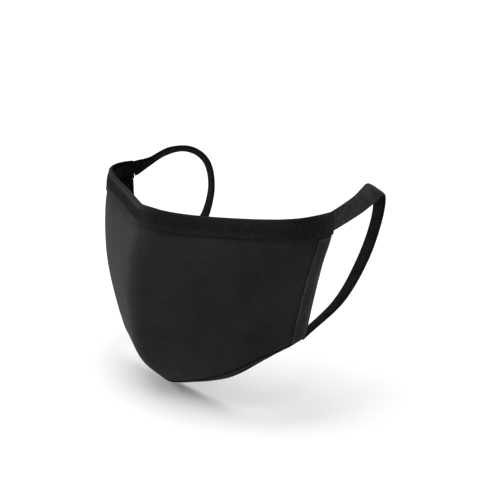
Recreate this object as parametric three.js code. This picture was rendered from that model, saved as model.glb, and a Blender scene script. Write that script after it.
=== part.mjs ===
// A cloth face mask, held in the form it takes on a face: two half panels that meet down the middle, a
// binding along the top and one turned in under the chin, a hem at each side and two ear loops.
// Millimetres. +X is the wearer's left, -Y points out from the face and +Z is up. The origin is on the
// centre plane, level with the middle of the side hems, where the mask sits against the cheeks.
import * as THREE from "three";

// Cloth
const panelThick = 1.6; // two layers of jersey
const bandThick = 0.9; // cloth of a binding or hem, folded round an edge
const slotGap = 0.4; // between a panel and the band folded round it
const seamGap = 0.3; // between the two half panels
const topBand = 12; // width of the top binding
const chinBand = 10; // width of the binding under the chin
const sideHem = 11.2; // width of a side hem
const strapWide = 11.2; // ear loop
const strapThick = 1.8;

// Form of one half, a row per level from the chin to the top edge, evenly spaced. seamY and seamZ place
// the centre seam and hemX, hemY and hemZ the side edge. front and side are the lengths of the curve's
// handles at the two ends, ridge its angle at the seam and toe how far the side edge turns in, in degrees.
// soft draws the seam back into a round ridge, lift raises the cloth next to it, and arch raises the cloth
// between there and the hem.
const levelColumns = [
  "seamY", "seamZ", "hemX", "hemY", "hemZ", "front", "side", "ridge", "toe", "soft", "lift", "arch",
];
const levels = [
  [-44, -91, 74, -1, -47, 34, 46, 17, -6, 4, 3, 0],
  [-61, -68, 79, 0, -22, 39, 39, 23, -2, 3, 0, 0],
  [-67, -41, 85, 0, 0, 47, 38, 25, 2, 3, 0, 0],
  [-66, -10, 89, 2, 16, 57, 37, 28, 5, 3, 2, 0],
  [-57, 19, 89, 2, 28, 71, 36, 35, 8, 4, 5, 4],
];
const softReach = 12; // how far from the seam soft fades out
const liftReach = 18; // how far from the seam lift fades out

// The chin edge turned in towards the throat, a row per place from the seam (at 0) to the side edge (at 1).
// rise is how far above the lowest level the cloth turns, and turn the angle it turns by, in degrees.
const chinColumns = ["at", "rise", "turn"];
const chin = [
  [0, 2, 45],
  [0.5, 3, 42],
  [0.75, 5, 38],
  [0.93, 2, 55],
  [1, 1.5, 62],
];

// Course of each ear loop from the top binding round behind the ear to the chin binding. tilt is 0 where
// the strap lies flat against the head and 90 where its width stands straight out from the head.
const loopColumns = ["x", "y", "z", "tilt"];
const leftLoop = [
  [88.5, 3.4, 22.4, 0],
  [85.5, 17, 24, -4],
  [82.5, 30.5, 26, -12],
  [79, 43, 28.5, -34],
  [74.5, 54, 29.5, -66],
  [72.5, 60.5, 24, -78],
  [73, 57.5, 9, -73],
  [74, 45.5, -11.5, -73],
  [74.5, 26, -31.5, -69],
  [70.2, 1.2, -47.4, -65],
];
const rightLoop = [
  [-88.5, 4.4, 22.8, 12],
  [-86, 13, 26, 37],
  [-82, 25.5, 32, 47],
  [-77, 37.5, 33, 67],
  [-73, 47.5, 27.5, 89],
  [-71.5, 53.5, 16.5, 105],
  [-71.5, 54, 0, 109],
  [-72, 46, -18, 100],
  [-73.5, 26, -33, 82],
  [-70.2, 1.2, -47.4, 65],
];

// Mesh steps
const acrossSteps = 24; // from the seam to the hem
const upSteps = 15; // from the chin turn to the top binding
const loopSteps = 5; // between two rows of a loop

const mix = (a, b, t) => a + (b - a) * t;
const radians = (degrees) => (degrees * Math.PI) / 180;

// Row of a table at t from 0 to 1, by a smooth curve through its evenly spaced rows.
function rowAt(table, columns, t) {
  const last = table.length - 1;
  const place = Math.min(Math.max(t * last, 0), last);
  const first = Math.min(Math.floor(place), last - 1);
  const f = place - first;
  const row = (k, c) => {
    if (k < 0) return 2 * table[0][c] - table[1][c];
    if (k > last) return 2 * table[last][c] - table[last - 1][c];
    return table[k][c];
  };
  const out = {};
  columns.forEach((name, c) => {
    const [a, b, d, e] = [row(first - 1, c), row(first, c), row(first + 1, c), row(first + 2, c)];
    out[name] = b + 0.5 * f * (d - a + f * (2 * a - 5 * b + 4 * d - e + f * (3 * (b - d) + e - a)));
  });
  return out;
}

// Value of the chin table at u, by straight lines between its rows.
function chinAt(u) {
  const place = Math.min(Math.max(u, 0), 1);
  const k = Math.min(chin.findIndex((row, i) => i > 0 && place <= row[0]) || 1, chin.length - 1);
  const [a, b] = [chin[k - 1], chin[k]];
  const f = (place - a[0]) / (b[0] - a[0]);
  return Object.fromEntries(chinColumns.map((name, c) => [name, mix(a[c], b[c], f)]));
}

// Middle of the cloth of the left half: u runs from the seam to the side edge, v from the chin to the top.
function bodyPoint(u, v) {
  const row = rowAt(levels, levelColumns, v);
  const seam = new THREE.Vector3(0, row.seamY, row.seamZ);
  const hem = new THREE.Vector3(row.hemX, row.hemY, row.hemZ);
  const ridge = radians(row.ridge);
  const toe = radians(row.toe);
  const fore = new THREE.Vector3(Math.cos(ridge) * row.front, row.seamY + Math.sin(ridge) * row.front, 0);
  const aft = new THREE.Vector3(row.hemX + Math.sin(toe) * row.side, row.hemY - Math.cos(toe) * row.side, 0);
  fore.z = mix(row.seamZ, row.hemZ, 0.33) - row.arch / 4;
  aft.z = mix(row.seamZ, row.hemZ, 0.67) + row.arch;
  const w = 1 - u;
  const point = seam.multiplyScalar(w * w * w);
  point.addScaledVector(fore, 3 * w * w * u).addScaledVector(aft, 3 * w * u * u);
  point.addScaledVector(hem, u * u * u);
  point.y += row.soft * Math.exp(-point.x / softReach);
  point.z += row.lift * Math.exp(-point.x / liftReach);
  return point;
}

// Unit direction of travel up the cloth, and how many millimetres one unit of v is worth there.
function upward(u, v) {
  const step = 0.01;
  const low = Math.max(v - step, 0);
  const high = Math.min(v + step, 1);
  const way = bodyPoint(u, high).sub(bodyPoint(u, low));
  const speed = way.length() / (high - low);
  return { way: way.normalize(), speed };
}

// Unit normal out of the cloth. On the seam it is kept in the centre plane, and stretch says how much
// longer an offset along it has to be for the cloth to keep its thickness across the ridge.
function outward(u, v) {
  const step = 0.01;
  const along = bodyPoint(u + step, v).sub(bodyPoint(Math.max(u - step, 0), v));
  const out = along.cross(upward(u, v).way).normalize();
  if (u > 0) return { out, stretch: 1 };
  const kept = Math.hypot(out.y, out.z);
  return { out: new THREE.Vector3(0, out.y / kept, out.z / kept), stretch: 1 / kept };
}

// A spot on the cloth by two counts. across is 0 at the seam, 1 at the hem's inner edge and 2 at the side
// edge. up is 0 at the turned-in edge under the chin, 1 where the cloth turns, 2 at the top binding's lower
// edge and 3 at the top edge. side is 1 for the left half and -1 for the right.
function spot(across, up, side = 1) {
  const nearU = across < 1 ? across * 0.93 : mix(0.93, 1, across - 1);
  const turned = chinAt(nearU);
  const lowV = turned.rise / upward(nearU, 0).speed;
  const highV = 1 - topBand / upward(nearU, 1).speed;
  const v = up < 1 ? lowV : up < 2 ? mix(lowV, highV, up - 1) : mix(highV, 1, up - 2);
  const hemU = 1 - sideHem / (3 * rowAt(levels, levelColumns, v).side);
  const u = across < 1 ? hemU * across : mix(hemU, 1, across - 1);
  const point = bodyPoint(u, v);
  let { out, stretch } = outward(u, v);
  if (up <= 1) {
    const angle = radians(turned.turn);
    const down = upward(u, v).way.negate();
    const under = down.clone().multiplyScalar(Math.cos(angle)).addScaledVector(out, -Math.sin(angle));
    const turnedOut = out.clone().multiplyScalar(Math.cos(angle)).addScaledVector(down, Math.sin(angle));
    point.addScaledVector(under, chinBand * (1 - up));
    if (up === 1) stretch /= Math.cos(angle / 2);
    out = up === 1 ? out.add(turnedOut).normalize() : turnedOut;
  }
  if (side < 0) {
    point.x *= -1;
    out.x *= -1;
  }
  return { point, out, stretch };
}

const offset = ({ point, out, stretch }, by) => point.clone().addScaledVector(out, by * stretch);

// Closed mesh from rings of points, each ring joined to the next, with both ends capped. Every four-sided
// face is split along its shorter diagonal, so that cloth and the band round it are split alike.
function ringSolid(name, material, rings, capTriangles) {
  const size = rings[0].length;
  const points = rings.flat();
  const faces = [];
  for (let k = 0; k + 1 < rings.length; k++) {
    for (let i = 0; i < size; i++) {
      const [a, b] = [k * size + i, k * size + ((i + 1) % size)];
      const [c, d] = [a + size, b + size];
      if (points[a].distanceTo(points[d]) < points[b].distanceTo(points[c])) faces.push([a, b, d], [a, d, c]);
      else faces.push([a, b, c], [b, d, c]);
    }
  }
  const end = (rings.length - 1) * size;
  for (const [a, b, c] of capTriangles) faces.push([c, b, a], [end + a, end + b, end + c]);
  const volume = faces.reduce((sum, [a, b, c]) => sum + points[a].dot(points[b].clone().cross(points[c])), 0);
  if (volume < 0) faces.forEach((face) => face.reverse());
  const geometry = new THREE.BufferGeometry();
  geometry.setAttribute("position", new THREE.Float32BufferAttribute(points.flatMap((p) => p.toArray()), 3));
  geometry.setIndex(faces.flat());
  geometry.computeVertexNormals();
  const mesh = new THREE.Mesh(geometry, material);
  mesh.name = name;
  return mesh;
}

// Cap triangles of a ring that has the given outline, as [x, y] pairs, turned the way the ring runs.
function capOf(outline) {
  const corners = outline.map(([x, y]) => new THREE.Vector2(x, y));
  const cap = THREE.ShapeUtils.triangulateShape(corners, []);
  const way = THREE.ShapeUtils.area(corners) * THREE.ShapeUtils.area(cap[0].map((i) => corners[i]));
  return way < 0 ? cap.map(([a, b, c]) => [c, b, a]) : cap;
}

// Outline of a band folded round an edge: [offset out of the cloth, distance in from the edge]. The outer
// and the inner leaf can have different widths.
function foldOutline(outerWidth, innerWidth) {
  const inner = panelThick / 2 + slotGap;
  const outer = inner + bandThick;
  return [
    [outer, outerWidth],
    [outer, bandThick],
    [inner, 0],
    [-inner, 0],
    [-outer, bandThick],
    [-outer, innerWidth],
    [-inner, innerWidth],
    [-inner, bandThick],
    [inner, bandThick],
    [inner, outerWidth],
  ];
}

// Counts across one half, closer together near the seam, where the ridge is round.
function acrossCounts(last) {
  const counts = [];
  for (let k = 0; k <= acrossSteps; k++) counts.push((k / acrossSteps) ** 1.25);
  return counts.concat([1.45, last]);
}

// Half panel: a slab of even thickness that stops short of the folds round its edges.
function panel(name, material, side) {
  const inset = bandThick + slotGap;
  const ups = [inset / chinBand, 0.55, 1];
  for (let k = 1; k <= upSteps; k++) ups.push(1 + k / upSteps);
  ups.push(3 - inset / topBand);
  const rings = acrossCounts(2 - inset / sideHem).map((across) => {
    const spots = ups.map((up) => spot(across, up, side));
    if (across === 0) spots.forEach((s) => (s.point.x = (side * seamGap) / 2));
    const outer = spots.map((s) => offset(s, panelThick / 2));
    const inner = spots.map((s) => offset(s, -panelThick / 2)).reverse();
    return outer.concat(inner);
  });
  const cap = [];
  for (let k = 0; k + 1 < ups.length; k++) {
    const back = 2 * ups.length - 1 - k;
    cap.push([k, k + 1, back], [k + 1, back - 1, back]);
  }
  return ringSolid(name, material, rings, cap);
}

// Binding from one side edge to the other. place gives the up count at a distance in from the bound edge.
function binding(name, material, outline, place, last) {
  const counts = acrossCounts(last);
  const stations = [...counts.slice(1).reverse().map((c) => [c, -1]), ...counts.map((c) => [c, 1])];
  const rings = stations.map(([across, side]) => outline.map(([by, from]) => offset(spot(across, place(from), side), by)));
  return ringSolid(name, material, rings, capOf(outline));
}

// Hem folded round one side edge, from the chin turn to just under the top binding. Its inner leaf starts
// higher, clear of the cloth turned in under the chin.
function hem(name, material, side) {
  const outline = foldOutline(sideHem, sideHem);
  const rings = [];
  for (let k = 0; k <= upSteps; k++) {
    rings.push(
      outline.map(([by, from]) => {
        const start = by > 0 ? 1.01 : 1.06;
        return offset(spot(2 - from / sideHem, mix(start, 1.992, k / upSteps), side), by);
      }),
    );
  }
  return ringSolid(name, material, rings, capOf(outline));
}

// Flat strap along a loop's course, with its long edges rounded.
function earLoop(name, material, course) {
  const [w, t, r] = [strapWide / 2, strapThick / 2, 0.45];
  const outline = [
    [w - r, t],
    [w, t - r],
    [w, r - t],
    [w - r, -t],
    [r - w, -t],
    [-w, r - t],
    [-w, t - r],
    [r - w, t],
  ];
  const steps = (course.length - 1) * loopSteps;
  const at = (k) => rowAt(course, loopColumns, k / steps);
  const centre = (row) => new THREE.Vector3(row.x, row.y, row.z);
  const rings = [];
  for (let k = 0; k <= steps; k++) {
    const row = at(k);
    const way = centre(at(Math.min(k + 0.5, steps))).sub(centre(at(Math.max(k - 0.5, 0)))).normalize();
    const flat = new THREE.Vector3(1, 0, 0).cross(way).normalize();
    const tilt = radians(row.tilt);
    const wide = flat.clone().multiplyScalar(Math.cos(tilt)).addScaledVector(way.clone().cross(flat), Math.sin(tilt));
    const thin = way.clone().cross(wide);
    rings.push(outline.map(([a, b]) => centre(row).addScaledVector(wide, a).addScaledVector(thin, b)));
  }
  return ringSolid(name, material, rings, capOf(outline));
}

const cloth = (color) => new THREE.MeshStandardMaterial({ color, roughness: 0.95 });
const bindingOutlines = { top: foldOutline(topBand, topBand), chin: foldOutline(chinBand - 0.4, chinBand - 3) };

const part = new THREE.Group();
part.name = "cloth_face_mask";
part.add(
  panel("left_panel", cloth(0x242425), 1),
  panel("right_panel", cloth(0x242425), -1),
  binding("top_binding", cloth(0x1f1f20), bindingOutlines.top, (from) => 3 - from / topBand, 2),
  binding("bottom_binding", cloth(0x1f1f20), bindingOutlines.chin, (from) => from / chinBand, 2),
  hem("left_side_hem", cloth(0x2c2c2d), 1),
  hem("right_side_hem", cloth(0x2c2c2d), -1),
  earLoop("left_ear_loop", cloth(0x1b1b1c), leftLoop),
  earLoop("right_ear_loop", cloth(0x1b1b1c), rightLoop),
);

export default part;
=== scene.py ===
import math

import bpy
import numpy as np
from mathutils import Matrix, Vector


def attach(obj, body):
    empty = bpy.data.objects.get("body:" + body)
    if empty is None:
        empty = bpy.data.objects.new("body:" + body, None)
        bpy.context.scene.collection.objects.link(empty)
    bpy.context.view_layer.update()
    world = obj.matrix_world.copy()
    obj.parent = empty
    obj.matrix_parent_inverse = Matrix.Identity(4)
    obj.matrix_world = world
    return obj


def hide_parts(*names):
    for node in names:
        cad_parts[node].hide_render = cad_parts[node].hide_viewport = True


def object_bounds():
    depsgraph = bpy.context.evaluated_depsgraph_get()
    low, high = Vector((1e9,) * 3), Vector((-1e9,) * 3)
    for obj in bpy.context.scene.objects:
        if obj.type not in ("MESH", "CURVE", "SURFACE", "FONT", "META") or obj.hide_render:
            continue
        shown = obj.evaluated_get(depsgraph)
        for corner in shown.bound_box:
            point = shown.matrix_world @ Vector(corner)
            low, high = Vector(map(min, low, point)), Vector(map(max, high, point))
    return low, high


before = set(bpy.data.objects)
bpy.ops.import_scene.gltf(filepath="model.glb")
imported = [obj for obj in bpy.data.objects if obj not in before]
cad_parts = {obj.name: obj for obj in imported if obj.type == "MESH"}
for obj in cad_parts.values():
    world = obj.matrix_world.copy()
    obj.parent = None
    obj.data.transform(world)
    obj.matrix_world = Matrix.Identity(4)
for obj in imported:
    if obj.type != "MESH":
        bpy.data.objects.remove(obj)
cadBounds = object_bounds()
print("frame loaded:", sorted(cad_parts))

# Lengths are millimetres until a mesh is made. +X is the wearer's left, -Y points out from the face, +Z is up.
metres = 0.001

# Form of the mask. Each level is a row from the chin to the top edge: where the centre seam and the side edge
# are, how far the cloth reaches forward from each, the ridge and toe angles, how soft and lifted the ridge is,
# and how far the cloth between is raised.
maskForm = {
    "panelThick": 1.6,  # two layers of jersey
    "topBand": 12.0,  # width of the top binding
    "chinBand": 10.0,  # width of the binding under the chin
    "sideHem": 11.2,  # width of a side hem
    "softReach": 12.0,  # how far from the seam the softening fades out
    "liftReach": 18.0,
    "ridgeRound": 5.0,  # how far each side of the seam the ridge is rounded, at the chin
    "ridgeOpen": 6.0,  # and how much further at the top
    "chinRound": 2.6,  # how far each side of the chin turn the cloth is rounded
    "waves": 0.16,  # height of the slack in the cloth
    "handleRise": 0.33,  # share of the way up to the other end at which a handle of the curve sits
}
levels = np.array(
    [  # seamY seamZ hemX hemY hemZ front side ridge toe soft lift arch
        [-44, -91, 74, -1, -47, 34, 46, 17, -6, 4, 4.6, 0],
        [-61, -68, 79, 0, -22, 39, 39, 23, -2, 3, 0, 0],
        [-67, -41, 85, 0, 0, 47, 38, 25, 2, 3, 0, 0],
        [-66, -10, 89, 2, 16, 57, 37, 28, 5, 3, 2, 0],
        [-57, 19, 89, 2, 28, 71, 36, 35, 8, 4, 5, 4],
    ],
    float,
)
frontColumn, sideColumn = 5, 6
hemShare = 0.93  # share of the way from seam to side edge at which the hem begins
chinTurn = np.array(
    [  # place from seam to side edge, rise of the turn, angle turned in degrees
        [0, 2, 45],
        [0.5, 3, 42],
        [0.75, 5, 38],
        [hemShare, 2, 55],
        [1, 1.5, 62],
    ],
    float,
)


def unit(vectors):
    return vectors / np.linalg.norm(vectors, axis=-1, keepdims=True)


def scaled(weights, vectors):
    return np.asarray(weights)[..., None] * vectors


def smooth(t):
    t = np.clip(t, 0, 1)
    return t * t * (3 - 2 * t)


def rowsAt(table, t):
    # A smooth curve through the evenly spaced rows of a table, read at t from 0 to 1.
    rows = np.vstack([2 * table[0] - table[1], table, 2 * table[-1] - table[-2]])
    last = len(table) - 1
    place = np.clip(t, 0, 1) * last
    first = np.minimum(np.floor(place).astype(int), last - 1)
    f = (place - first)[..., None]
    a, b, c, d = (rows[first + k] for k in range(4))
    return b + 0.5 * f * (c - a + f * (2 * a - 5 * b + 4 * c - d + f * (3 * (b - c) + d - a)))


def halfPoint(u, v):
    # Left half: a cubic curve from the seam (u 0) to the side edge (u 1), its control points set by the level v,
    # drawn back and lifted next to the seam.
    rows = np.moveaxis(rowsAt(levels, v), -1, 0)
    seamY, seamZ, hemX, hemY, hemZ, front, side, ridge, toe, soft, lift, arch = rows
    ridge, toe, w = np.radians(ridge), np.radians(toe), 1 - u
    rise = maskForm["handleRise"]
    a, b, c, d = w**3, 3 * w * w * u, 3 * w * u * u, u**3
    x = b * np.cos(ridge) * front + c * (hemX + np.sin(toe) * side) + d * hemX
    y = (a + b) * seamY + b * np.sin(ridge) * front + (c + d) * hemY - c * np.cos(toe) * side
    z = (a + (1 - rise) * b + rise * c) * seamZ + (rise * b + (1 - rise) * c + d) * hemZ + (c - b / 4) * arch
    y = y + soft * np.exp(-x / maskForm["softReach"])
    z = z + lift * np.exp(-x / maskForm["liftReach"])
    return np.stack([x, y, z], -1)


def bodyPoint(u, v):
    # Both halves, u from -1 to 1. Across the seam a parabola that touches both halves rounds the ridge.
    u, v = np.broadcast_arrays(np.asarray(u, float), np.asarray(v, float))
    away = np.abs(u)
    wide = maskForm["ridgeRound"] + maskForm["ridgeOpen"] * v * v
    reach = wide / (3 * rowsAt(levels, v)[..., frontColumn])
    w = 0.5 + 0.5 * np.minimum(away / reach, 1)
    seam, flank = halfPoint(0 * reach, v), halfPoint(reach, v)
    curved = scaled((1 - w) ** 2, flank * [-1, 1, 1]) + scaled(2 * w * (1 - w), seam) + scaled(w * w, flank)
    point = np.where((away < reach)[..., None], curved, halfPoint(away, v))
    point[..., 0] *= np.where(u < 0, -1, 1)
    return point


def clothFrame(u, v):
    # The point, the normal out of the cloth, the unit way up the cloth, and the millimetres one unit of v is worth.
    u, v = np.broadcast_arrays(np.asarray(u, float), np.asarray(v, float))
    step = 0.004
    low, high = np.maximum(v - step, 0), np.minimum(v + step, 1)
    rise = bodyPoint(u, high) - bodyPoint(u, low)
    run = bodyPoint(np.minimum(u + step, 1), v) - bodyPoint(np.maximum(u - step, -1), v)
    speed = np.linalg.norm(rise, axis=-1) / (high - low)
    return bodyPoint(u, v), unit(np.cross(run, rise)), unit(rise), speed


def spot(across, up):
    # A place on the cloth. across: 0 seam, 1 hem's inner edge, 2 side edge, negative on the right half.
    # up: 0 turned-in edge under the chin, 1 the chin turn, 2 the top binding's lower edge, 3 the top edge.
    across, up = np.broadcast_arrays(np.asarray(across, float), np.asarray(up, float))
    away, side = np.abs(across), np.where(across < 0, -1, 1)
    near = np.where(away < 1, hemShare * away, hemShare + (1 - hemShare) * (away - 1))
    rise = np.interp(near, chinTurn[:, 0], chinTurn[:, 1])
    turn = np.radians(np.interp(near, chinTurn[:, 0], chinTurn[:, 2]))
    lowV = rise / clothFrame(near, 0)[3]
    highV = 1 - maskForm["topBand"] / clothFrame(near, 1)[3]

    def uAt(v):
        hemU = 1 - maskForm["sideHem"] / (3 * rowsAt(levels, v)[..., sideColumn])
        return side * np.where(away < 1, hemU * away, hemU + (1 - hemU) * (away - 1))

    v = np.where(up < 2, lowV + (highV - lowV) * np.clip(up - 1, 0, 1), highV + (1 - highV) * (up - 2))
    point, out, way, speed = clothFrame(uAt(v), v)
    corner, cornerOut, cornerWay, cornerSpeed = clothFrame(uAt(lowV), lowV)
    endV = lowV + maskForm["chinRound"] / cornerSpeed
    end, endOut = clothFrame(uAt(endV), endV)[:2]
    under = scaled(-np.cos(turn), cornerWay) - scaled(np.sin(turn), cornerOut)
    underOut = scaled(np.cos(turn), cornerOut) - scaled(np.sin(turn), cornerWay)
    # Below the turn the cloth runs straight inwards; a parabola rounds the turn itself.
    past = np.where(up < 1, maskForm["chinBand"] * (up - 1), (v - lowV) * cornerSpeed)
    w = np.clip(past / maskForm["chinRound"], -1, 1) * 0.5 + 0.5
    start = corner + under * maskForm["chinRound"]
    curved = scaled((1 - w) ** 2, start) + scaled(2 * w * (1 - w), corner) + scaled(w * w, end)
    curvedOut = unit(scaled(1 - w, underOut) + scaled(w, endOut))
    turned, round_ = (w <= 0)[..., None], (w < 1)[..., None]
    point = np.where(turned, corner - scaled(past, under), np.where(round_, curved, point))
    out = np.where(turned, underOut, np.where(round_, curvedOut, out))
    return point, out


def arcTable(path, low, high, count=900):
    # Places along a path, and the millimetres run up to each.
    places = np.linspace(low, high, count)
    steps = np.linalg.norm(np.diff(path(places), axis=0), axis=-1)
    return places, np.concatenate([[0], np.cumsum(steps)])


sharpAngle = 60  # degrees between two faces past which their edge shows


def makeMesh(name, points, faces, weave=None, inner=None):
    # points in millimetres, faces of four corners each, weave the cloth's own millimetres at each point, inner 1
    # where a point is on the side towards the head
    mesh = bpy.data.meshes.new(name)
    mesh.vertices.add(len(points))
    mesh.vertices.foreach_set("co", (points * metres).astype(np.float32).ravel())
    mesh.loops.add(faces.size)
    mesh.loops.foreach_set("vertex_index", faces.astype(np.int32).ravel())
    mesh.polygons.add(len(faces))
    mesh.polygons.foreach_set("loop_start", np.arange(0, faces.size, 4, dtype=np.int32))
    mesh.update(calc_edges=True)
    if weave is not None:
        layer = mesh.uv_layers.new(name="weave")
        layer.data.foreach_set("uv", weave[faces.ravel()].astype(np.float32).ravel())
        mesh.attributes.new("innerFace", "FLOAT", "POINT").data.foreach_set("value", inner.astype(np.float32))
    mesh.polygons.foreach_set("use_smooth", np.ones(len(faces), bool))
    mesh.set_sharp_from_angle(angle=math.radians(sharpAngle))
    mesh.validate()
    piece = bpy.data.objects.new(name, mesh)
    bpy.context.scene.collection.objects.link(piece)
    return piece


def outwardFaces(points, faces):
    # The faces, turned round if they enclose a negative volume.
    a, b, c, d = (points[faces[:, k]] for k in range(4))
    volume = np.sum(a * np.cross(b, c)) + np.sum(a * np.cross(c, d))
    return faces if volume > 0 else faces[:, ::-1]


def sleeve(name, outside, inside, weave, inner=None):
    # Closed piece from two grids of (station, place): each station is a ring that runs out along one grid and
    # back along the other, each ring is joined to the next, and the two end rings are filled in. inner says for one
    # ring which places face the head; without it they are those of the second grid.
    rings = np.concatenate([outside, inside[:, ::-1]], axis=1)
    both = np.concatenate([weave, weave[:, ::-1]], axis=1)
    count, size = rings.shape[:2]
    index = np.arange(count * size).reshape(count, size)
    after = np.roll(index, -1, axis=1)
    walls = np.stack([index[:-1], after[:-1], after[1:], index[1:]], -1).reshape(-1, 4)
    k = np.arange(size // 2 - 1)
    cap = np.stack([k, k + 1, size - 2 - k, size - 1 - k], -1)
    faces = np.concatenate([walls, cap[:, ::-1], cap + (count - 1) * size])
    points = rings.reshape(-1, 3)
    if inner is None:
        inner = np.arange(size) >= size // 2
    return makeMesh(name, points, outwardFaces(points, faces), both.reshape(-1, 2), np.tile(inner, count))


threadStations, threadSides = 7, 6


def threads(name, place, starts, ends, look):
    # Short threads from starts to ends, both in the cloth's own millimetres. Each is a six-sided tube whose ends
    # dive into the cloth: its height follows a flattened half sine and its girth a rounded bar.
    t = np.linspace(0, 1, threadStations)
    run = starts[:, None] + (ends - starts)[:, None] * t[None, :, None]
    point, out = place(run[..., 0], run[..., 1])
    centre = point + out * (look["lift"] * np.sin(math.pi * t) ** 0.5 - look["sink"])[None, :, None]
    tangent = unit(np.gradient(centre, axis=1))
    sideways = unit(np.cross(tangent, out))
    upwards = np.cross(sideways, tangent)
    girth = look["radius"] * np.sqrt(np.clip(1 - (2 * t - 1) ** 6, 0.12, 1))
    turn = np.arange(threadSides) * 2 * math.pi / threadSides
    spokes = np.cos(turn)[:, None] * sideways[:, :, None] + np.sin(turn)[:, None] * upwards[:, :, None]
    rings = centre[:, :, None] + girth[None, :, None, None] * spokes
    index = np.arange(rings[..., 0].size).reshape(rings.shape[:3])
    after = np.roll(index, -1, axis=2)
    walls = np.stack([index[:, :-1], after[:, :-1], after[:, 1:], index[:, 1:]], -1).reshape(-1, 4)
    first, last = index[:, 0], index[:, -1]
    caps = [first[:, [3, 2, 1, 0]], first[:, [5, 4, 3, 0]], last[:, [0, 1, 2, 3]], last[:, [0, 3, 4, 5]]]
    faces = np.concatenate([walls, *caps])
    points = rings.reshape(-1, 3)
    one = faces[np.isin(faces[:, 0], index[0].ravel())]
    turned = outwardFaces(points, one) is not one
    return makeMesh(name, points, faces[:, ::-1] if turned else faces)


def dress(piece, material, slot, *nodes):
    piece.data.materials.append(material)
    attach(piece, "root")
    if nodes:
        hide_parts(*nodes)
    return piece


# Camera
cameraView = {
    "azimuth": 48.2,  # degrees round the object from straight ahead
    "elevation": 16.4,
    "distance": 587.4,
    "right": 12.7,  # the point looked at, from the origin
    "up": -6.3,
    "lens": 73.6,
    "sensor": 36,
    "clip": (0.02, 50),  # metres
}


def makeCamera(look):
    a, e = math.radians(look["azimuth"]), math.radians(look["elevation"])
    forward = Vector((-math.sin(a) * math.cos(e), math.cos(a) * math.cos(e), -math.sin(e)))
    right = Vector((math.cos(a), math.sin(a), 0))
    up = right.cross(forward)
    aim = (right * look["right"] + up * look["up"]) * metres
    data = bpy.data.cameras.new("camera")
    data.lens, data.sensor_width = look["lens"], look["sensor"]
    data.clip_start, data.clip_end = look["clip"]
    camera = bpy.data.objects.new("camera", data)
    camera.matrix_world = Matrix.Translation(aim - forward * look["distance"] * metres) @ Matrix(
        (right, up, -forward)
    ).transposed().to_4x4()
    bpy.context.scene.collection.objects.link(camera)
    bpy.context.scene.camera = camera


makeCamera(cameraView)
print("camera placed")


# Materials
def addNode(tree, kind, **values):
    node = tree.nodes.new(kind)
    for key, value in values.items():
        if key in node.inputs:
            node.inputs[key].default_value = value
        else:
            setattr(node, key, value)
    return node


def mathNode(tree, operation, a, b=None):
    node = tree.nodes.new("ShaderNodeMath")
    node.operation = operation
    for socket, value in zip(node.inputs, (a, b)):
        if isinstance(value, (int, float)):
            socket.default_value = value
        elif value is not None:
            tree.links.new(value, socket)
    return node.outputs[0]


def newGroup(name, inputs, outputs):
    tree = bpy.data.node_groups.new(name, "ShaderNodeTree")
    for label, kind, value in inputs:
        socket = tree.interface.new_socket(name=label, in_out="INPUT", socket_type=kind)
        if value is not None:
            socket.default_value = value
    for label, kind in outputs:
        tree.interface.new_socket(name=label, in_out="OUTPUT", socket_type=kind)
    return tree, tree.nodes.new("NodeGroupInput"), tree.nodes.new("NodeGroupOutput")


knitRipple = 0.3  # share of a loop's height that comes and goes along its column
fleckForm = {
    "spotRange": (0.42, 0.72),  # part of the fine noise that makes a fleck
    "cloudRange": (0.35, 0.65),
    "cloudMost": 0.45,  # how far the broad drift goes towards the pale colour
}


def knitGroup():
    # Knitted loops: columns of V shapes. Height is the column's round back times the V's ripple along it.
    tree, given, result = newGroup(
        "knitLoops",
        [("Weave", "NodeSocketVector", None), ("Column", "NodeSocketFloat", 1.0), ("Row", "NodeSocketFloat", 0.8)],
        [("Height", "NodeSocketFloat")],
    )
    parts = addNode(tree, "ShaderNodeSeparateXYZ")
    tree.links.new(given.outputs["Weave"], parts.inputs[0])
    column = mathNode(tree, "DIVIDE", parts.outputs["X"], given.outputs["Column"])
    row = mathNode(tree, "DIVIDE", parts.outputs["Y"], given.outputs["Row"])
    off = mathNode(tree, "ABSOLUTE", mathNode(tree, "SUBTRACT", mathNode(tree, "FRACT", column), 0.5))
    back = mathNode(tree, "SINE", mathNode(tree, "MULTIPLY", mathNode(tree, "SUBTRACT", 0.5, off), math.pi))
    slant = mathNode(tree, "MULTIPLY", mathNode(tree, "ADD", row, off), 2 * math.pi)
    wave = mathNode(tree, "MULTIPLY", mathNode(tree, "SINE", slant), knitRipple)
    ripple = mathNode(tree, "ADD", wave, 1 - knitRipple)
    tree.links.new(mathNode(tree, "MULTIPLY", back, ripple), result.inputs["Height"])
    return tree


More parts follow.
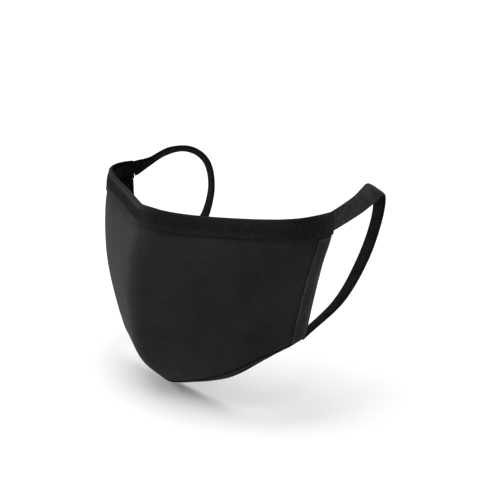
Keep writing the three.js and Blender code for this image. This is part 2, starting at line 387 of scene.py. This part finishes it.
def fleckGroup():
    # Colour of a dyed cotton knit: a broad cloudy drift plus small lighter flecks, as a mix of two colours.
    tree, given, result = newGroup(
        "cottonFlecks",
        [
            ("Vector", "NodeSocketVector", None),
            ("Deep", "NodeSocketColor", (0.02, 0.02, 0.02, 1)),
            ("Pale", "NodeSocketColor", (0.05, 0.05, 0.05, 1)),
            ("Drift", "NodeSocketFloat", 60.0),
            ("Fleck", "NodeSocketFloat", 900.0),
            ("Amount", "NodeSocketFloat", 0.5),
        ],
        [("Color", "NodeSocketColor"), ("Mask", "NodeSocketFloat")],
    )
    drift = addNode(tree, "ShaderNodeTexNoise", Detail=3.0, Roughness=0.5)
    fleck = addNode(tree, "ShaderNodeTexNoise", Detail=2.0, Roughness=0.6)
    for noise, label in ((drift, "Drift"), (fleck, "Fleck")):
        tree.links.new(given.outputs["Vector"], noise.inputs["Vector"])
        tree.links.new(given.outputs[label], noise.inputs["Scale"])
    spots, cloud = addNode(tree, "ShaderNodeMapRange"), addNode(tree, "ShaderNodeMapRange")
    for node, noise, key in ((spots, fleck, "spotRange"), (cloud, drift, "cloudRange")):
        tree.links.new(noise.outputs["Fac"], node.inputs["Value"])
        node.inputs["From Min"].default_value, node.inputs["From Max"].default_value = fleckForm[key]
    cloud.inputs["To Max"].default_value = fleckForm["cloudMost"]
    flecks = mathNode(tree, "MULTIPLY", spots.outputs[0], given.outputs["Amount"])
    both = mathNode(tree, "ADD", cloud.outputs[0], flecks)
    blend = addNode(tree, "ShaderNodeMix", data_type="RGBA")
    tree.links.new(both, blend.inputs["Factor"])
    tree.links.new(given.outputs["Deep"], blend.inputs[6])
    tree.links.new(given.outputs["Pale"], blend.inputs[7])
    tree.links.new(blend.outputs[2], result.inputs["Color"])
    tree.links.new(both, result.inputs["Mask"])
    return tree


knitLoops, cottonFlecks = knitGroup(), fleckGroup()


def gray(level):
    return (level, level, level, 1)


def clothMaterial(name, look):
    # Matt cotton: fleck colours, knitted bump from the cloth's own millimetres, a soft fuzz at grazing angles.
    material = bpy.data.materials.new(name)
    material.use_nodes = True
    tree = material.node_tree
    shader = tree.nodes["Principled BSDF"]
    shader.inputs["Roughness"].default_value = look["roughness"]
    shader.inputs["Sheen Roughness"].default_value = look["sheenRoughness"]
    shader.inputs["Sheen Tint"].default_value = gray(look["sheenTint"])
    place = addNode(tree, "ShaderNodeTexCoord")
    flecks = addNode(tree, "ShaderNodeGroup", node_tree=cottonFlecks)
    tree.links.new(place.outputs["Object"], flecks.inputs["Vector"])
    for key in ("Deep", "Pale", "Drift", "Fleck", "Amount"):
        flecks.inputs[key].default_value = look[key.lower()]
    weave = addNode(tree, "ShaderNodeUVMap", uv_map="weave")
    knit = addNode(tree, "ShaderNodeGroup", node_tree=knitLoops)
    tree.links.new(weave.outputs["UV"], knit.inputs["Weave"])
    knit.inputs["Column"].default_value = look["column"]
    knit.inputs["Row"].default_value = look["row"]
    nap = mathNode(tree, "MULTIPLY", flecks.outputs["Mask"], look["nap"])
    height = mathNode(tree, "ADD", knit.outputs["Height"], nap)
    bump = addNode(tree, "ShaderNodeBump", Strength=look["bump"], Distance=look["depth"] * metres)
    tree.links.new(height, bump.inputs["Height"])
    tree.links.new(bump.outputs["Normal"], shader.inputs["Normal"])
    # Painted shade: the grooves between columns are darkened against their backs.
    shade = addNode(tree, "ShaderNodeMix", data_type="RGBA", blend_type="MULTIPLY")
    shade.inputs["Factor"].default_value = look["grooveShade"]
    tree.links.new(flecks.outputs["Color"], shade.inputs[6])
    tree.links.new(knit.outputs["Height"], shade.inputs[7])
    # Painted shade: the side towards the head is darkened in colour and its specular and sheen are cut, standing in
    # for the shade it sits in.
    side = addNode(tree, "ShaderNodeAttribute", attribute_name="innerFace")
    outer = mathNode(tree, "SUBTRACT", 1.0, mathNode(tree, "MULTIPLY", side.outputs["Fac"], look["innerShadeDull"]))
    for label, key in (("Specular IOR Level", "specular"), ("Sheen Weight", "sheen")):
        tree.links.new(mathNode(tree, "MULTIPLY", outer, look[key]), shader.inputs[label])
    innerShade = addNode(tree, "ShaderNodeMix", data_type="RGBA", blend_type="MULTIPLY")
    tree.links.new(mathNode(tree, "MULTIPLY", side.outputs["Fac"], look["innerShadeDepth"]), innerShade.inputs["Factor"])
    tree.links.new(shade.outputs[2], innerShade.inputs[6])
    innerShade.inputs[7].default_value = (0, 0, 0, 1)
    tree.links.new(innerShade.outputs[2], shader.inputs["Base Color"])
    return material


jerseyLook = {
    "deep": gray(0.011),
    "pale": gray(0.0195),
    "drift": 60.0,
    "fleck": 700.0,
    "amount": 0.45,
    "roughness": 0.92,
    "specular": 0.08,
    "sheen": 0.06,
    "sheenRoughness": 0.45,
    "sheenTint": 0.9,
    "column": 0.85,
    "row": 0.65,
    "bump": 0.5,
    "depth": 0.15,
    "nap": 0.3,
    "grooveShade": 0.35,
    # The last two keys paint shade on the side towards the head: how far its colour darkens and how far its
    # specular and sheen fall.
    "innerShadeDepth": 0.25,
    "innerShadeDull": 0.9,
}
ribLook = {
    **jerseyLook,
    "deep": gray(0.0065),
    "pale": gray(0.017),
    "amount": 0.6,
    "column": 1.45,
    "row": 0.9,
    "bump": 0.9,
    "depth": 0.4,
    "grooveShade": 0.75,
    "innerShadeDepth": 0.6,
}
# Painted shade: the chin binding is the rib cloth in darker colours, standing in for the shade under the chin.
chinRibShadedLook = {**ribLook, "deep": gray(0.003), "pale": gray(0.008)}
hemLook = {
    **jerseyLook,
    "deep": gray(0.028),
    "pale": gray(0.074),
    "amount": 0.5,
    "column": 1.3,
    "row": 1.0,
    "bump": 0.8,
    "depth": 0.3,
    "grooveShade": 0.6,
    "innerShadeDepth": 0.85,
}
strapLook = {
    **jerseyLook,
    "deep": gray(0.008),
    "pale": gray(0.042),
    "drift": 120.0,
    "fleck": 650.0,
    "amount": 0.9,
    "column": 1.2,
    "row": 1.1,
    "bump": 0.8,
    "depth": 0.25,
    "grooveShade": 0.6,
    "innerShadeDepth": 0.6,
    "innerShadeDull": 0.8,
}
jersey = clothMaterial("blackJersey", jerseyLook)
rib = clothMaterial("blackRibBinding", ribLook)
chinRibShaded = clothMaterial("shadedChinBinding", chinRibShadedLook)
hemCloth = clothMaterial("sideHemCloth", hemLook)
strapKnit = clothMaterial("earLoopKnit", strapLook)


def threadMaterial(name, look):
    # Spun thread: small flecks, with a bump from the same flecks.
    material = bpy.data.materials.new(name)
    material.use_nodes = True
    tree = material.node_tree
    shader = tree.nodes["Principled BSDF"]
    shader.inputs["Roughness"].default_value = look["roughness"]
    shader.inputs["Specular IOR Level"].default_value = look["specular"]
    shader.inputs["Sheen Weight"].default_value = look["sheen"]
    place = addNode(tree, "ShaderNodeTexCoord")
    flecks = addNode(tree, "ShaderNodeGroup", node_tree=cottonFlecks)
    tree.links.new(place.outputs["Object"], flecks.inputs["Vector"])
    for key in ("Deep", "Pale", "Drift", "Fleck", "Amount"):
        flecks.inputs[key].default_value = look[key.lower()]
    bump = addNode(tree, "ShaderNodeBump", Strength=look["bump"], Distance=look["depth"] * metres)
    tree.links.new(flecks.outputs["Mask"], bump.inputs["Height"])
    tree.links.new(bump.outputs["Normal"], shader.inputs["Normal"])
    tree.links.new(flecks.outputs["Color"], shader.inputs["Base Color"])
    return material


thread = threadMaterial(
    "sewingThread",
    {
        "deep": gray(0.006),
        "pale": gray(0.016),
        "drift": 200.0,
        "fleck": 2500.0,
        "amount": 0.6,
        "roughness": 0.85,
        "specular": 0.1,
        "sheen": 0.03,
        "bump": 0.5,
        "depth": 0.08,
    },
)
print("materials made")


# Half panels
panelLook = {
    "acrossSteps": 84,
    "hemSteps": 7,
    "turnSteps": 18,  # turned-in edge
    "upSteps": 190,
    "bandSteps": 12,  # under the top binding
    "crowding": 1.2,  # 1 spreads the steps across evenly, more crowds them towards the seam
    "inset": 1.3,  # stops this far short of a fold
    "halfGap": 0.02,  # from the middle of the seam to each half
    "seamGroove": 0.1,  # depth of the line where the halves meet
    "grooveWide": 0.45,
    "pucker": 0.06,  # ripple drawn up by the hem stitches
    "puckerPitch": 5.2,
    "puckerReach": 5.0,
    "hemFade": 12.0,  # how far from the hem, and from the seam, the slack grows to its full height
    "seamFade": 8.0,
}
slackWaves = np.array(
    [  # height, length across, length up, start
        [1.0, 7.3, 19.0, 0.0],
        [0.8, -15.0, 6.1, 1.3],
        [0.6, 4.4, 4.4, 0.4],
    ]
)


def slack(x, z):
    # Gentle slack in the cloth: three crossed waves of different lengths.
    waves = sum(height * np.sin(x / wide + z / tall + start) for height, wide, tall, start in slackWaves)
    return maskForm["waves"] * waves / slackWaves[:, 0].sum()


def panel(name, side):
    look = panelLook
    inset = look["inset"]
    counts = np.linspace(0, 1, look["acrossSteps"] + 1) ** look["crowding"]
    counts = np.concatenate([counts, np.linspace(1.1, 2 - inset / maskForm["sideHem"], look["hemSteps"])])
    ups = np.concatenate(
        [
            np.linspace(inset / maskForm["chinBand"], 1, look["turnSteps"])[:-1],
            np.linspace(1, 2, look["upSteps"]),
            np.linspace(2, 3 - inset / maskForm["topBand"], look["bandSteps"])[1:],
        ]
    )
    across, up = np.meshgrid(side * counts, ups, indexing="ij")
    point, out = spot(across, up)
    run = np.linalg.norm(np.diff(point, axis=0), axis=-1)
    fromSeam = np.concatenate([np.zeros((1, len(ups))), np.cumsum(run, axis=0)])
    rise = np.linalg.norm(np.diff(point, axis=1), axis=-1)
    fromChin = np.concatenate([np.zeros((len(counts), 1)), np.cumsum(rise, axis=1)], axis=1)
    middle = np.mean(fromChin, axis=0)[None, :] + 0 * fromChin
    toHem = np.maximum(fromSeam[[look["acrossSteps"]]] - fromSeam, 0)
    # Flat where a hem or a binding lies over it
    covered = smooth((across * side - 1.0) / 0.1) + smooth((up - 2.0) / 0.05) + smooth((0.97 - up) / 0.05)
    free = np.clip(1 - covered, 0, 1)
    ripple = np.cos(2 * math.pi * fromChin / look["puckerPitch"])
    pull = look["pucker"] * ripple * np.exp(-toHem / look["puckerReach"])
    grown = smooth(toHem / look["hemFade"]) * smooth(fromSeam / look["seamFade"])
    wave = slack(side * fromSeam, fromChin) * grown
    relief = free * (pull + wave)
    groove = look["seamGroove"] * np.exp(-((fromSeam / look["grooveWide"]) ** 2))
    half = maskForm["panelThick"] / 2
    front = point + out * (half + relief - groove)[..., None]
    back = point + out * (relief - half)[..., None]
    front[0, :, 0] = back[0, :, 0] = side * look["halfGap"]
    weave = np.stack([side * fromSeam, middle], -1)
    patches = np.cross(np.diff(point, axis=0)[:, :-1], np.diff(point, axis=1)[:-1])
    area = np.sum(np.linalg.norm(patches, axis=-1))
    return sleeve(name, front, back, weave), area, fromSeam[-1].max(), fromChin[0, -1]


leftPanel, panelArea, panelWidth, panelLength = panel("leftPanel", 1)
rightPanel = panel("rightPanel", -1)[0]
dress(leftPanel, jersey, "panel_jersey", "left_panel")
dress(rightPanel, jersey, "panel_jersey", "right_panel")
print("panels:", round(panelArea), "square mm,", round(panelWidth, 1), "by", round(panelLength, 1))


# Bindings and hems
bandLook = {
    "thick": 0.8,
    "slot": 0.15,  # gap between a band and the cloth in it
    "edgeTurn": (8, 35, 62, 90),  # degrees round a cut edge
    "foldSteps": 11,
    "drawnIn": 0.35,  # share of a trough's depth that comes and goes with the needle
}


def foldPath(outerWidth, innerWidth, steps):
    # Section of a band folded round an edge, as (offset out of the cloth, distance in from the edge), for its
    # outer and its inner skin: a round lower edge, a straight leaf, a half circle, and the same back again.
    t = bandLook["thick"] / 2
    mid = maskForm["panelThick"] / 2 + bandLook["slot"] + t
    turn = np.radians(bandLook["edgeTurn"])
    leaf = np.linspace(0, 1, steps)[1:]
    bend = np.linspace(0, math.pi, bandLook["foldSteps"])[1:-1]
    radius = mid + t

    def skin(grow):
        edge = grow * t * np.sin(turn)
        far = t * (1 - np.cos(turn))
        outer = [np.stack([mid + edge, outerWidth - far], -1)]
        down = outerWidth - t + (radius - outerWidth + t) * leaf
        outer.append(np.stack([mid + grow * t + 0 * down, down], -1))
        r = mid + grow * t
        arc = np.stack([r * np.cos(bend), radius - r * np.sin(bend)], -1)
        inner = innerWidth - t + (radius - innerWidth + t) * leaf[::-1]
        back = [np.stack([-mid - grow * t + 0 * inner, inner], -1)]
        back.append(np.stack([-mid - edge, innerWidth - far], -1)[::-1])
        return np.concatenate([*outer, arc, *back])

    return skin(1), skin(-1)


def bandRelief(along, across, look):
    # Each stitch row lies in a shallow trough that is deeper where the needle goes in.
    rows = zip(look["rows"], look["depths"])
    trough = sum(depth * np.exp(-(((across - row) / look["troughWide"]) ** 2)) for row, depth in rows)
    share = bandLook["drawnIn"]
    return -trough * (1 - share + share * np.cos(2 * math.pi * along / look["pitch"]))


def band(name, place, along, section, look):
    # A folded band carried along an edge. place gives the point and normal at (millimetres along, millimetres in).
    outerPath, innerPath = section
    length = np.concatenate([[0], np.cumsum(np.linalg.norm(np.diff(outerPath, axis=0), axis=-1))])
    grids = []
    for path, keep in ((outerPath, 1), (innerPath, 0)):
        run, inward = np.meshgrid(along, path[:, 1], indexing="ij")
        point, out = place(run, inward, np.sign(path[:, 0])[None, :] + 0 * run)
        leaf = np.clip(np.abs(path[:, 0]) / np.abs(path[:, 0]).max(), 0, 1) ** 8
        relief = keep * leaf * bandRelief(run, inward, look) * np.sign(path[:, 0])
        grids.append(point + out * (path[:, 0] + relief)[..., None])
    weave = np.stack(np.meshgrid(along, length, indexing="ij"), -1)
    inner = np.concatenate([outerPath[:, 0], innerPath[::-1, 0]]) < 0
    return sleeve(name, *grids, weave, inner)


def surfacePlace(place, look, leaf):
    # The band's outer skin (leaf 1) or inner skin (leaf -1) as a place for threads.
    skin = maskForm["panelThick"] / 2 + bandLook["slot"] + bandLook["thick"]

    def onSkin(along, inward):
        point, out = place(along, inward, leaf + 0 * along)
        return point + out * (leaf * (skin + bandRelief(along, inward, look)))[..., None], out * leaf

    return onSkin


threadLook = {"radius": 0.23, "lift": 0.16, "sink": 0.1, "fill": 0.82}
coverLook = {"radius": 0.19, "lift": 0.2, "sink": 0.04, "lean": 0.12}


def stitchRow(length, inward, pitch, margin):
    # One row of stitches, each filling its share of the pitch.
    starts = np.arange(margin, length - margin - pitch, pitch)
    gap = pitch * (1 - threadLook["fill"]) / 2
    line = inward + 0 * starts
    return np.stack([starts + gap, line], -1), np.stack([starts + pitch - gap, line], -1)


def crossRow(length, low, high, pitch, margin):
    # Threads laid across from one stitch row to the other, leaning a little by turns.
    starts = np.arange(margin, length - margin - pitch, pitch)
    lean = coverLook["lean"] * pitch * np.where(np.arange(len(starts)) % 2, 1, -1)
    return np.stack([starts - lean, low + 0 * starts], -1), np.stack([starts + lean, high + 0 * starts], -1)


def sew(name, place, sets, look):
    starts, ends = (np.concatenate([s[k] for s in sets]) for k in (0, 1))
    return threads(name, place, starts, ends, look)


# Top binding. flatShare is the cloth in a band, in widths of the band.
topLook = {
    "step": 0.45,
    "leafSteps": 16,
    "flatShare": 2.3,
    "rows": (2.9, 9.3),  # stitch rows, from the folded edge
    "depths": (0.26, 0.26),
    "troughWide": 0.6,
    "pitch": 2.6,
    "coverPitch": 1.3,
    "margin": 1.2,
}
topBand = maskForm["topBand"]
topPlaces, topRun = arcTable(lambda a: spot(a, 2.5)[0], -2, 2)
topLength = topRun[-1]


def topPlace(along, inward, leaf):
    return spot(np.interp(along, topRun, topPlaces), 3 - inward / topBand)


topBinding = band(
    "topBinding",
    topPlace,
    np.linspace(0, topLength, round(topLength / topLook["step"])),
    foldPath(topBand, topBand, topLook["leafSteps"]),
    topLook,
)
dress(topBinding, rib, "binding_rib", "top_binding")


def coverStitches(name, place, length, look, leaf, slotName):
    # Two rows of stitches and the threads laid across between them, on one leaf of a band.
    low, high = look["rows"]
    margin = look["margin"]
    rows = [stitchRow(length, row, look["pitch"], margin) for row in (low, high)]
    skin = surfacePlace(place, look, leaf)
    needle = sew(name + "Rows", skin, rows, threadLook)
    cover = sew(name + "Cover", skin, [crossRow(length, low, high, look["coverPitch"], margin)], coverLook)
    for piece in (needle, cover):
        dress(piece, thread, slotName)
    return [needle, cover]


topStitches = coverStitches("topOuter", topPlace, topLength, topLook, 1, "binding_rib")
topStitches += coverStitches("topInner", topPlace, topLength, topLook, -1, "binding_rib")
print("top binding:", round(topLength, 1), "mm long")

# Chin binding
chinLook = {
    **topLook,
    "step": 0.5,
    "leafSteps": 14,
    "flatShare": 2,
    "rows": (2.2, 5.8),
    "outerShort": 0.4,  # how much narrower than the turned-in edge each leaf is
    "innerShort": 3,
}
chinBand = maskForm["chinBand"]
chinPlaces, chinRun = arcTable(lambda a: spot(a, 0.5)[0], -2, 2)
chinLength = chinRun[-1]


def chinPlace(along, inward, leaf):
    return spot(np.interp(along, chinRun, chinPlaces), inward / chinBand)


bottomBinding = band(
    "bottomBinding",
    chinPlace,
    np.linspace(0, chinLength, round(chinLength / chinLook["step"])),
    foldPath(chinBand - chinLook["outerShort"], chinBand - chinLook["innerShort"], chinLook["leafSteps"]),
    chinLook,
)
dress(bottomBinding, chinRibShaded, "binding_rib", "bottom_binding")
bottomStitches = coverStitches("chinOuter", chinPlace, chinLength, chinLook, 1, "binding_rib")
bottomStitches += coverStitches("chinInner", chinPlace, chinLength, chinLook, -1, "binding_rib")
print("chin binding:", round(chinLength, 1), "mm long")

# Side hems
hemSew = {
    "step": 0.4,
    "leafSteps": 14,
    "flatShare": 2.3,
    "rows": (4.7, 9.6),
    "depths": (0.6, 0.35),
    "troughWide": 0.85,
    "pitch": 2.5,
    "coverPitch": 1.5,
    "margin": 1.5,
    "low": 1.01,  # where the hem starts and ends up the side edge; its inner leaf starts higher
    "innerLow": 1.06,
    "high": 1.992,
}
sideHem = maskForm["sideHem"]
hemPlaces, hemRun = arcTable(lambda up: spot(1.5, up)[0], hemSew["low"], hemSew["high"])
hemLength = hemRun[-1]


def hemPlace(side):
    def place(along, inward, leaf):
        up = np.interp(along, hemRun, hemPlaces)
        start = np.where(leaf < 0, hemSew["innerLow"], hemSew["low"])
        share = (up - hemSew["low"]) / (hemSew["high"] - hemSew["low"])
        return spot(side * (2 - inward / sideHem), start + (hemSew["high"] - start) * share)

    return place


hems, hemStitches = [], []
for sideName, side in (("left", 1), ("right", -1)):
    place = hemPlace(side)
    piece = band(
        sideName + "SideHem",
        place,
        np.linspace(0, hemLength, round(hemLength / hemSew["step"])),
        foldPath(sideHem, sideHem, hemSew["leafSteps"]),
        hemSew,
    )
    hems.append(dress(piece, hemCloth, "side_hem", sideName + "_side_hem"))
    sewn = coverStitches(sideName + "HemOuter", place, hemLength, hemSew, 1, "side_hem")
    sewn += coverStitches(sideName + "HemInner", place, hemLength, hemSew, -1, "side_hem")
    hemStitches.append(sewn)
print("side hems:", round(hemLength, 1), "mm long")

# Ear loops: a row per place from the top binding round behind the ear to the chin binding. tilt is 0 where the
# strap lies flat against the head and 90 where its width stands straight out from the head.
loopLook = {
    "wide": 11.2,
    "thick": 1.8,
    "edge": 0.04,  # square of the share of the thickness left at the long edges
    "tuck": 2.2,  # how far each end runs on into its binding
    "tuckSteps": 5,
    "steps": 420,
    "places": 15,  # across the strap
}
loopCourses = {
    "left": [
        [88.5, 3.4, 22.4, 0],
        [85.5, 17, 24, -4],
        [82.5, 30.5, 26, -12],
        [79, 43, 28.5, -34],
        [74.5, 54, 29.5, -66],
        [72.5, 60.5, 24, -78],
        [73, 57.5, 9, -73],
        [74, 45.5, -11.5, -73],
        [74.5, 26, -31.5, -69],
        [70.2, 1.2, -47.4, -65],
    ],
    "right": [
        [-88.5, 4.4, 22.8, 12],
        [-86, 13, 26, 37],
        [-82, 25.5, 32, 47],
        [-77, 37.5, 33, 67],
        [-73, 47.5, 27.5, 89],
        [-71.5, 53.5, 16.5, 105],
        [-71.5, 54, 0, 109],
        [-72, 46, -18, 100],
        [-73.5, 26, -33, 82],
        [-70.2, 1.2, -47.4, 65],
    ],
}


def earLoop(name, course):
    # A flat strap carried along its course; the section is a flattened oval, and both ends run on a little way
    # straight into the bindings.
    look = loopLook
    course = np.array(course, float)
    t = np.linspace(0, 1, look["steps"])
    rows = rowsAt(course, t)
    step = 1e-3
    way = unit(rowsAt(course, np.minimum(t + step, 1))[:, :3] - rowsAt(course, np.maximum(t - step, 0))[:, :3])
    more = look["tuckSteps"]
    tuck = np.linspace(look["tuck"], 0, more + 1)[:-1, None]
    centre = np.concatenate([rows[0, :3] - tuck * way[0], rows[:, :3], (rows[-1, :3] + tuck * way[-1])[::-1]])
    tilt = np.concatenate([np.full(more, rows[0, 3]), rows[:, 3], np.full(more, rows[-1, 3])])
    tilt = np.radians(tilt)[:, None]
    way = np.concatenate([np.repeat(way[:1], more, 0), way, np.repeat(way[-1:], more, 0)])
    flat = unit(np.cross([1.0, 0, 0], way))
    wide = np.cos(tilt) * flat + np.sin(tilt) * np.cross(way, flat)
    thin = np.cross(way, wide)
    run = np.concatenate([[0], np.cumsum(np.linalg.norm(np.diff(centre, axis=0), axis=-1))])
    a = np.sin(np.linspace(-1, 1, look["places"]) * math.pi / 2)
    half = look["thick"] / 2 * np.sqrt(np.clip(1 - np.abs(a) ** 5, look["edge"], 1))
    spread = scaled(a * look["wide"] / 2, wide[:, None])
    front = centre[:, None] + spread + scaled(half, thin[:, None])
    back = centre[:, None] + spread - scaled(half, thin[:, None])
    weave = np.stack(np.meshgrid(run, a * look["wide"] / 2, indexing="ij"), -1)[..., ::-1]
    inner = (np.arange(2 * look["places"]) < look["places"]) == (centre[0, 0] < 0)
    return sleeve(name, front, back, weave, inner), run[-1]


for sideName, course in loopCourses.items():
    piece, loopLength = earLoop(sideName + "EarLoop", course)
    dress(piece, strapKnit, "ear_loop_knit", sideName + "_ear_loop")
    print(sideName, "ear loop:", round(loopLength, 1), "mm long")
# Floor, backdrop and light
stageLook = {
    "floor": gray(0.86),
    "floorDrop": 0.6,  # millimetres under the mask's lowest point
    "floorReach": 16000.0,  # how far it runs forward and to each side
    "wallStart": 5600.0,  # where it starts to curve up
    "wallRadius": 900.0,
    "wallHeight": 2500.0,  # above the curve
    "bright": (-0.45, -0.8, 0.4),  # where the soft light of the room comes from
    "dimSide": 0.1,
    "brightSide": 1.0,
    "keyAzimuth": -62,
    "keyElevation": 22,
    "keyDistance": 1.4,
    "keyPower": 7.4,
    "keySize": 0.6,
    "topStrength": 1.9,
    "topAngle": 60.0,
}


def makeFloor():
    # A sheet that runs forward flat and curves up behind: height is a quarter circle, then straight.
    look = stageLook
    lowest = cadBounds[0].z / metres - look["floorDrop"]
    s = np.linspace(-1, 1, 3) * look["floorReach"]
    radius, back = look["wallRadius"], look["wallStart"]
    ahead = np.linspace(-look["floorReach"], back, 12)
    flat = np.stack([ahead, 0 * ahead], -1)
    a = np.linspace(0, math.pi / 2, 16)[1:]
    bend = np.stack([back + radius * np.sin(a), radius * (1 - np.cos(a))], -1)
    wall = np.array([[back + radius, radius + look["wallHeight"]]])
    profile = np.concatenate([flat, bend, wall])
    turn = math.radians(cameraView["azimuth"])
    right = np.array([math.cos(turn), math.sin(turn), 0])
    deep = np.array([-math.sin(turn), math.cos(turn), 0])
    grid = scaled(s[:, None] + 0 * profile[:, 0], right) + scaled(profile[:, 0], deep) + scaled(
        profile[:, 1] + lowest, np.array([0, 0, 1.0])
    )
    index = np.arange(grid[..., 0].size).reshape(grid.shape[:2])
    faces = np.stack([index[:-1, :-1], index[1:, :-1], index[1:, 1:], index[:-1, 1:]], -1).reshape(-1, 4)
    floor = makeMesh("floor", grid.reshape(-1, 3), faces)
    material = bpy.data.materials.new("paleFloor")
    material.use_nodes = True
    shader = material.node_tree.nodes["Principled BSDF"]
    shader.inputs["Base Color"].default_value = look["floor"]
    shader.inputs["Roughness"].default_value = 0.9
    shader.inputs["Specular IOR Level"].default_value = 0.1
    floor.data.materials.append(material)


def makeKeyLight(look):
    # A round soft light that faces the origin
    a, e = math.radians(look["keyAzimuth"]), math.radians(look["keyElevation"])
    way = Vector((math.sin(a) * math.cos(e), -math.cos(a) * math.cos(e), math.sin(e)))
    data = bpy.data.lights.new("keyLight", "AREA")
    data.shape, data.size, data.energy = "DISK", look["keySize"], look["keyPower"]
    light = bpy.data.objects.new("keyLight", data)
    light.location = way * look["keyDistance"]
    light.rotation_euler = way.to_track_quat("Z", "Y").to_euler()
    bpy.context.scene.collection.objects.link(light)


makeFloor()
makeKeyLight(stageLook)
topData = bpy.data.lights.new("topLight", "SUN")
topData.energy, topData.angle = stageLook["topStrength"], math.radians(stageLook["topAngle"])
bpy.context.scene.collection.objects.link(bpy.data.objects.new("topLight", topData))
world = bpy.data.worlds.new("studio")
world.use_nodes = True
backdrop = world.node_tree.nodes["Background"]
backdrop.inputs["Color"].default_value = (1, 1, 1, 1)
sky = addNode(world.node_tree, "ShaderNodeTexCoord")
toward = addNode(world.node_tree, "ShaderNodeVectorMath", operation="DOT_PRODUCT")
toward.inputs[1].default_value = stageLook["bright"]
world.node_tree.links.new(sky.outputs["Generated"], toward.inputs[0])
spread = addNode(world.node_tree, "ShaderNodeMapRange")
spread.inputs["From Min"].default_value = -1
spread.inputs["To Min"].default_value = stageLook["dimSide"]
spread.inputs["To Max"].default_value = stageLook["brightSide"]
world.node_tree.links.new(toward.outputs["Value"], spread.inputs["Value"])
world.node_tree.links.new(spread.outputs[0], backdrop.inputs["Strength"])
bpy.context.scene.world = world
bpy.context.scene.view_settings.view_transform = "Standard"
print("stage lit")
